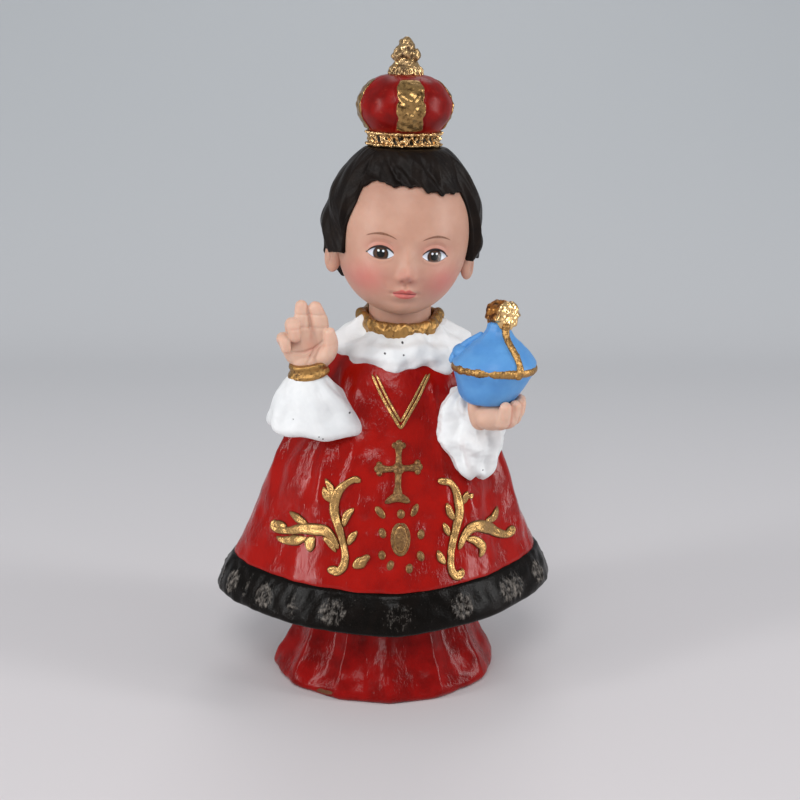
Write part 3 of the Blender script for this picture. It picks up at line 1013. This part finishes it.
crownCap = Finish("crownCap", 0.16)  # the panels are told from the cap by the value that its corners keep
giltMask = (crownCap.value("gilded") + crownCap.noise(0.5, 3) * 0.3).step(0.5, 0.72)
redTone = crownCap.mix(crownCap.noise(3.0, 4).step(0.35, 0.7), tone(134, 12, 7), tone(106, 8, 5))
redTone = crownCap.layered(redTone, (crownCap.noise(1.0, 3, 0.6).step(0.58, 0.8) * 0.35, 176, 66, 52))
giltTone = crownCap.mix(crownCap.noise(1.1, 4, 0.6).step(0.54, 0.32), tone(160, 127, 80), tone(86, 62, 34))
crownCap.feed(Base_Color=crownCap.mix(giltMask, redTone, giltTone), Metallic=giltMask * 0.8,
              Roughness=0.24 + crownCap.noise(2.0, 3) * 0.12 - giltMask * 0.04)
crownCap.relief(crownCap.noise(0.9, 4, 0.55) * (giltMask * 0.8 + 0.2), 0.6, 0.16)
makePiece("crownCap", [cap], crownCap, "crown")

angles, rowRadius, rise = turned(crown["bandRows"], *crown["bandGrid"])
middle = ease(0.5, 0.8, rise) * (1 - ease(1.95, 2.25, rise))
web = np.clip(0.55 + 0.8 * roundLumps((7, 7), angles, rise, 1.0, 76), 0, 1)
leaves = 0.3 * np.maximum(0, np.sin(26 * angles + 2.4 * rise)) ** 0.6 + 0.32 * web
small = 0.16 * np.cos(44 * angles) * (1 - middle)
rough = 0.16 * roundLumps((7, 7), angles, rise, 0.8, 73)
radius = rowRadius + middle * (leaves - 0.25) + small + rough * ease(5.9, 6.4, rowRadius)
pierced = (1 - ease(0.08, 0.34, leaves + 0.4 * rough)) * middle
bandBase = crown["base"] - 0.3
bandShell = onCrown(radius, angles, bandBase + np.clip(rise + 0.08 * small, 0, 3), bandBase, bandTop - 0.25,
                    pierced=pierced)
bandBright = Finish("bandBright")
hole = (bandBright.value("pierced") + bandBright.noise(0.5, 3) * 0.5).step(0.75, 1.1)
bandBright.feed(Base_Color=bandBright.mix(hole, tone(196, 160, 112), tone(22, 13, 8)), Metallic=0.95 - hole * 0.5,
                Roughness=hole * 0.3 + 0.16)
bandBright.relief(bandBright.noise(0.6, 4, 0.6), 0.8, 0.12)
makePiece("crownBand", [bandShell], bandBright, "crown")

angles, rowRadius, rise = turned(crown["ringRows"], *crown["ringGrid"])
tooth = np.cos(18 * angles)
dentil = 0.24 * np.sign(tooth) * np.abs(tooth) ** 0.5 * bump(rise - 0.7, 0.7)
radius = rowRadius + dentil + 0.08 * roundLumps((3, 3), angles, rise, 0.9, 74)
lobes = [ballShell((crownX + x, crownY + y, crown["knobHeight"] + z), (r, r, r), 28) for x, y, z, r in crown["lobes"]]
for lobe in lobes:
    v = lobe["corners"]
    v += 0.13 * lumps(*v.T, 1.0, 75)[:, None] * (v - v.mean(0)) / 1.3
    v[:, 2] = np.minimum(v[:, 2], crown["highest"])
knobRing = onCrown(radius, angles, capTop + rise, capTop - 0.4, capTop + 3.3)
bandGold = goldPaint("bandGold", tone(214, 178, 126), tone(66, 42, 22), 0.15, 0.12, 0.7, 0.2)
makePiece("crownKnob", [knobRing] + lobes, bandGold, "crown")
print("crown ready")

# Gilt ornament on the front of the robe: strips and drops that follow the surface, all in (across, up) mm

ornament = {
    "height": 0.55, "under": 0.35, "broad": 1.5,
    "strips": [  # points, half widths along them: two scrolls with their leaves, then the lacing at the neck
        [[[-12.2, 28.9], [-11.0, 28.7], [-9.9, 29.6], [-9.4, 31.0], [-9.4, 32.4], [-9.9, 34.7], [-10.6, 37.0],
          [-11.3, 39.4], [-11.2, 41.5], [-10.4, 43.5], [-9.1, 44.9], [-7.6, 45.6], [-6.5, 45.4]],
         [0.35, 0.5, 0.42, 0.5, 0.62, 0.6, 0.4, 0.45]],
        [[[-11.9, 41.1], [-12.8, 42.5], [-13.3, 43.8]], [0.3, 0.6, 0.2]],
        [[[-11.7, 41.8], [-12.0, 43.7], [-13.0, 45.2]], [0.3, 0.5, 0.2]],
        [[[-10.6, 32.8], [-11.6, 34.6], [-13.0, 35.8], [-15.3, 35.6], [-17.5, 35.0], [-19.4, 34.0], [-21.7, 33.3],
          [-22.6, 33.6], [-22.2, 34.9]], [0.3, 0.5, 0.7, 0.75, 0.65, 0.5, 0.4, 0.4, 0.3]],
        [[[-16.4, 33.8], [-18.8, 32.5], [-20.7, 31.9], [-22.0, 32.0]], [0.25, 0.6, 0.5, 0.25]],
        [[[-16.2, 36.4], [-17.9, 36.8], [-19.5, 37.3]], [0.3, 0.6, 0.2]],
        [[[-14.9, 34.3], [-15.7, 33.1], [-15.8, 31.4]], [0.3, 0.7, 0.35]],
        [[[-13.4, 34.7], [-12.1, 33.7], [-11.0, 32.2]], [0.25, 0.45, 0.2]],
        [[[-9.6, 37.0], [-9.1, 38.9], [-7.8, 40.5]], [0.25, 0.5, 0.25]],
        [[[-8.8, 33.7], [-8.2, 35.1], [-7.2, 36.4]], [0.25, 0.5, 0.25]],
        [[[-8.0, 30.0], [-6.6, 31.0], [-5.3, 32.0]], [0.35, 0.75, 0.3]],
        [[[12.6, 28.9], [12.4, 27.7], [11.3, 27.7], [10.4, 29.3], [10.4, 32.0], [10.9, 34.3], [11.5, 36.5],
          [12.1, 38.8], [11.9, 41.1], [11.3, 43.2], [10.0, 44.8], [7.9, 45.2]],
         [0.3, 0.5, 0.45, 0.5, 0.62, 0.6, 0.4, 0.45]],
        [[[12.0, 32.3], [12.9, 34.3], [14.2, 35.6], [15.9, 35.9], [18.2, 34.7], [20.3, 33.0], [22.4, 31.9],
          [23.9, 31.8], [24.3, 32.9]], [0.3, 0.5, 0.7, 0.7, 0.65, 0.55, 0.45, 0.4, 0.3]],
        [[[17.8, 36.2], [19.4, 35.9], [20.5, 37.6]], [0.3, 0.6, 0.25]],
        [[[13.4, 34.0], [15.3, 33.4], [16.7, 32.1], [16.7, 30.9], [16.3, 30.1]], [0.25, 0.5, 0.6, 0.5, 0.3]],
        [[[9.6, 41.1], [10.1, 39.5], [11.0, 37.8]], [0.25, 0.5, 0.25]],
        [[[9.0, 37.5], [9.6, 36.2], [10.1, 35.0]], [0.25, 0.45, 0.25]],
        [[[7.8, 32.8], [8.3, 31.5], [9.3, 30.2]], [0.25, 0.5, 0.25]],
        [[[13.0, 40.4], [13.3, 41.6], [13.8, 42.7]], [0.25, 0.45, 0.2]],
        [[[13.8, 41.5], [14.4, 41.7], [14.9, 41.7]], [0.2, 0.4, 0.2]],
        [[[-4.3, 64.1], [-2.2, 59.8], [0.9, 54.8]], [0.16, 0.2, 0.22]],
        [[[-3.5, 64.1], [-1.3, 59.7], [0.9, 56.0]], [0.16, 0.17, 0.18]],
        [[[6.5, 64.3], [4.3, 60.2], [0.9, 54.8]], [0.18, 0.2, 0.2]],
        [[[5.9, 64.2], [3.5, 60.2], [0.9, 56.0]], [0.14, 0.16, 0.17]],
    ],
    "cross": [  # shaft, arms and foot
        [[[0.5, 52.2], [0.4, 48.0], [0.2, 43.0]], [0.6, 0.34, 0.4, 0.4, 0.38, 0.7]],
        [[[-3.4, 47.7], [0.4, 47.85], [4.2, 47.95]], [0.62, 0.34, 0.42, 0.34, 0.62]],
        [[[-2.1, 41.9], [-1.0, 42.5], [0.2, 42.9], [1.4, 42.5], [2.5, 41.9]], [0.3, 0.45, 0.6, 0.45, 0.3]],
    ],
    "trefoils": [[0.5, 51.9, 0, 1], [-3.1, 47.7, -1, 0], [4.0, 47.95, 1, 0]],  # place, way outwards
    "drops": [  # across, up, length, width, lean and height: scroll ends, boss, jewel, beads
        [-11.4, 29.0, 0.95, 0.6, 1.45], [11.7, 28.0, 0.75, 0.5, 1.2], [-21.3, 34.3, 1.0, 0.6, 1.3],
        [23.3, 32.4, 0.75, 0.45, 1.2], [0.4, 47.85, 0.8, 0.8, 0, 0.75], [0.7, 35.5, 1.75, 0.95, 0, 0.34],
        [-3.0, 40.1, 0.95, 0.5, -0.7], [0.8, 39.9, 0.6, 0.55], [3.4, 40.4, 0.9, 0.45, 0.5],
        [-2.6, 36.5, 0.65, 0.5, -0.3], [4.6, 36.0, 0.65, 0.5], [-2.7, 32.6, 0.6, 0.5], [-1.2, 31.0, 0.65, 0.45, 0.5],
        [4.5, 32.2, 0.7, 0.5, -0.4], [2.3, 30.3, 0.6, 0.5], [-5.9, 31.6, 0.9, 0.5, 0.9]],
}


def raisedShell(flatX, flatZ, lift, tall):
    # lifts points given over (across, up) off the robe; rim is 1 at the foot of the shape and 0 on its top
    point, normal = robeFrame(flatX, flatZ)
    return shellOf(point + normal * lift[..., None], rim=1 - ease(0.25, 0.75, lift / tall))


def raisedStrip(points, widths, height=ornament["height"]):
    # a closed strip: half widths along a smooth path, rounded on top and sunk a little into the robe
    points = np.asarray(points, float)
    count = max(10, int(np.linalg.norm(np.diff(points, axis=0), axis=1).sum() / 0.28))
    line = smoothPath(points, count)
    along = np.gradient(line, axis=0)
    along /= np.linalg.norm(along, axis=1, keepdims=True)
    t = np.linspace(0, 1, count)
    taper = 1 - bump(np.minimum(t, 1 - t) * count, 1.2) * 0.6
    half = (ornament["broad"] * np.interp(t, np.linspace(0, 1, len(widths)), widths) * taper)[:, None]
    angle = evenAngles(18)
    x = line[:, :1] - along[:, 1:] * (half * np.cos(angle))
    z = line[:, 1:] + along[:, :1] * (half * np.cos(angle))
    tall = height * np.minimum(1, half / 0.45) * (1 + 0.14 * lumps(x, 0, z, 1.6, 81))
    above = np.abs(np.sin(angle)) ** 0.6 * tall * (1 - 0.25 * bump(np.cos(angle), 0.28))
    return raisedShell(x, z, np.where(np.sin(angle) > 0, above, np.sin(angle) * ornament["under"]), tall)


def raisedDrop(x, z, long, wide, lean=0.0, height=ornament["height"]):
    # a low dome over an ellipse whose long axis leans by lean radians from upright
    long, wide = long * ornament["broad"] * 0.92, wide * ornament["broad"] * 0.92
    rise = np.linspace(-math.pi / 2, math.pi / 2, 16)[1:-1, None]
    angle = evenAngles(28)
    u, v = wide * np.cos(rise) * np.cos(angle), long * np.cos(rise) * np.sin(angle)
    s, c = math.sin(lean), math.cos(lean)
    tall = height * (1 + 0.15 * lumps(x + u, 0, z + v, 1.0, 82))
    above = np.clip(np.sin(rise), 0, 1) ** 0.8 * tall
    lift = np.where(np.sin(rise) > 0, above, np.sin(rise) * ornament["under"])
    return raisedShell(x + u * c + v * s, z - u * s + v * c, lift, tall)


gilt = [raisedStrip(*strip) for strip in ornament["strips"] + ornament["cross"]]
gilt += [raisedDrop(*drop) for drop in ornament["drops"]]
for x, z, dx, dz in ornament["trefoils"]:
    gilt += [raisedDrop(x + dx * 0.3, z + dz * 0.3, 0.5, 0.5), raisedDrop(x + dz * 0.75, z + dx * 0.75, 0.42, 0.42),
             raisedDrop(x - dz * 0.75, z - dx * 0.75, 0.42, 0.42)]
jewelRim = np.linspace(0, turn, 25)
gilt += [raisedStrip(np.stack([0.7 + 1.55 * np.sin(jewelRim), 35.5 + 2.7 * np.cos(jewelRim)], -1), [0.2, 0.2], 0.5)]
robeGold = Finish("robeGold", 0.4)
fine = robeGold.noise(0.42, 4, 0.66)
across, _, up = robeGold.axes()
centreDull = (1.0 - (across - 0.5).size().step(5.0, 8.0)) * (1.0 - up.step(53.0, 54.5))
rim = robeGold.value("rim")
painted = (rim * 0.62 + (1.0 - fine) * 0.95).step(0.42, 0.84)
rubbed = (0.72 - rim.step(0.1, 0.5) * 0.5 + (fine - 0.5) * 1.6).least(1.0).most(0.0)
thin = painted * (1.0 - centreDull) + rubbed * centreDull
robeGold.feed(Base_Color=robeGold.mix(thin, tone(188, 148, 92), tone(78, 44, 20)), Metallic=0.85 - thin * 0.45,
              Roughness=thin * 0.2 + 0.24)
robeGold.relief(fine, 0.85, 0.1)
makePiece("giltOrnament", gilt, robeGold)
print("ornament ready")

# Every solid is stood for by a piece above, and keeps a finish of its own

for name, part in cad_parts.items():
    if hasattr(part, "data") and hasattr(part.data, "materials"):
        part.data.materials.clear()
        part.data.materials.append((whitePaint if name == "figure" else bandGold).material)

# Floor that curves up behind, and soft light

studio = {"floorHalf": 1500, "floorCells": 160, "curveFrom": 260, "key": 3.0, "left": 2.9, "right": 2.7, "rim": 1.0,
          "world": 0.4}
floorPaint = Finish("paleFloor", 0.2)
nearFar = floorPaint.axes()[1].step(-220.0, 520.0)
floorPaint.feed(Base_Color=floorPaint.mix(nearFar, tone(219, 213, 214), tone(184, 187, 190)),
                Roughness=floorPaint.noise(30, 2) * 0.1 + 0.6)
count = studio["floorCells"]
gx, gy = np.meshgrid(*[np.linspace(-1, 1, count) * studio["floorHalf"]] * 2)
gz = np.clip(gy - studio["curveFrom"], 0, None) ** 1.6 * 0.02
ids = np.arange(count * count).reshape(count, count)
quads = np.stack([ids[:-1, :-1], ids[:-1, 1:], ids[1:, 1:], ids[1:, :-1]], -1).reshape(-1, 4)
floorMesh = bpy.data.meshes.new("floor")
floorMesh.from_pydata((np.stack([gx, gy, gz], -1).reshape(-1, 3) * mm).tolist(), [], quads.tolist())
floorMesh.polygons.foreach_set("use_smooth", np.ones(len(quads), bool))
floor = bpy.data.objects.new("floor", floorMesh)
bpy.context.scene.collection.objects.link(floor)
floorMesh.materials.append(floorPaint.material)

for name, place, aim, wide, tall in (("key", (-0.12, -0.60, 0.62), 0.06, 0.35, 0.35),
                                     ("left", (-0.70, -0.30, 0.24), 0.06, 0.13, 0.55),
                                     ("right", (0.70, -0.26, 0.26), 0.06, 0.13, 0.55),
                                     ("rim", (0.1, 0.5, 0.7), 0.08, 0.4, 0.4)):
    lamp = bpy.data.lights.new(name + "Light", "AREA")
    lamp.shape, lamp.size, lamp.size_y, lamp.energy = "RECTANGLE", wide, tall, studio[name]
    light = bpy.data.objects.new(name + "Light", lamp)
    bpy.context.scene.collection.objects.link(light)
    light.location = place
    light.rotation_euler = (Vector((0, 0, aim)) - Vector(place)).to_track_quat("-Z", "Y").to_euler()
world = bpy.data.worlds.new("studioAir")
bpy.context.scene.world = world
world.use_nodes = True
air = world.node_tree.nodes["Background"].inputs
air["Color"].default_value, air["Strength"].default_value = (0.86, 0.9, 0.95, 1), studio["world"]
bpy.context.scene.view_settings.view_transform = "Standard"

# Camera: in front, a little to the left and above, turned by a degree and a half

view = {"lens": 58.8, "around": -6.0, "down": 15.5, "roll": 1.5, "away": 246.8, "height": 124.7, "across": 2.18}
around, down, roll = (math.radians(view[k]) for k in ("around", "down", "roll"))
right = Vector((math.cos(around), math.sin(around), 0))
back = Vector((math.sin(around), -math.cos(around), 0))
eye = back * view["away"] + Vector((0, 0, view["height"])) + right * view["across"]
ahead = -back * math.cos(down) - Vector((0, 0, math.sin(down)))
above = right.cross(ahead)
cameraX = right * math.cos(roll) + above * math.sin(roll)
cameraY = above * math.cos(roll) - right * math.sin(roll)
lensData = bpy.data.cameras.new("camera")
lensData.lens, lensData.sensor_width, lensData.clip_start = view["lens"], 36, 0.01
camera = bpy.data.objects.new("camera", lensData)
bpy.context.scene.collection.objects.link(camera)
camera.matrix_world = Matrix.Translation(eye * mm) @ Matrix((cameraX, cameraY, -ahead)).transposed().to_4x4()
bpy.context.scene.camera = camera
print("stage ready")
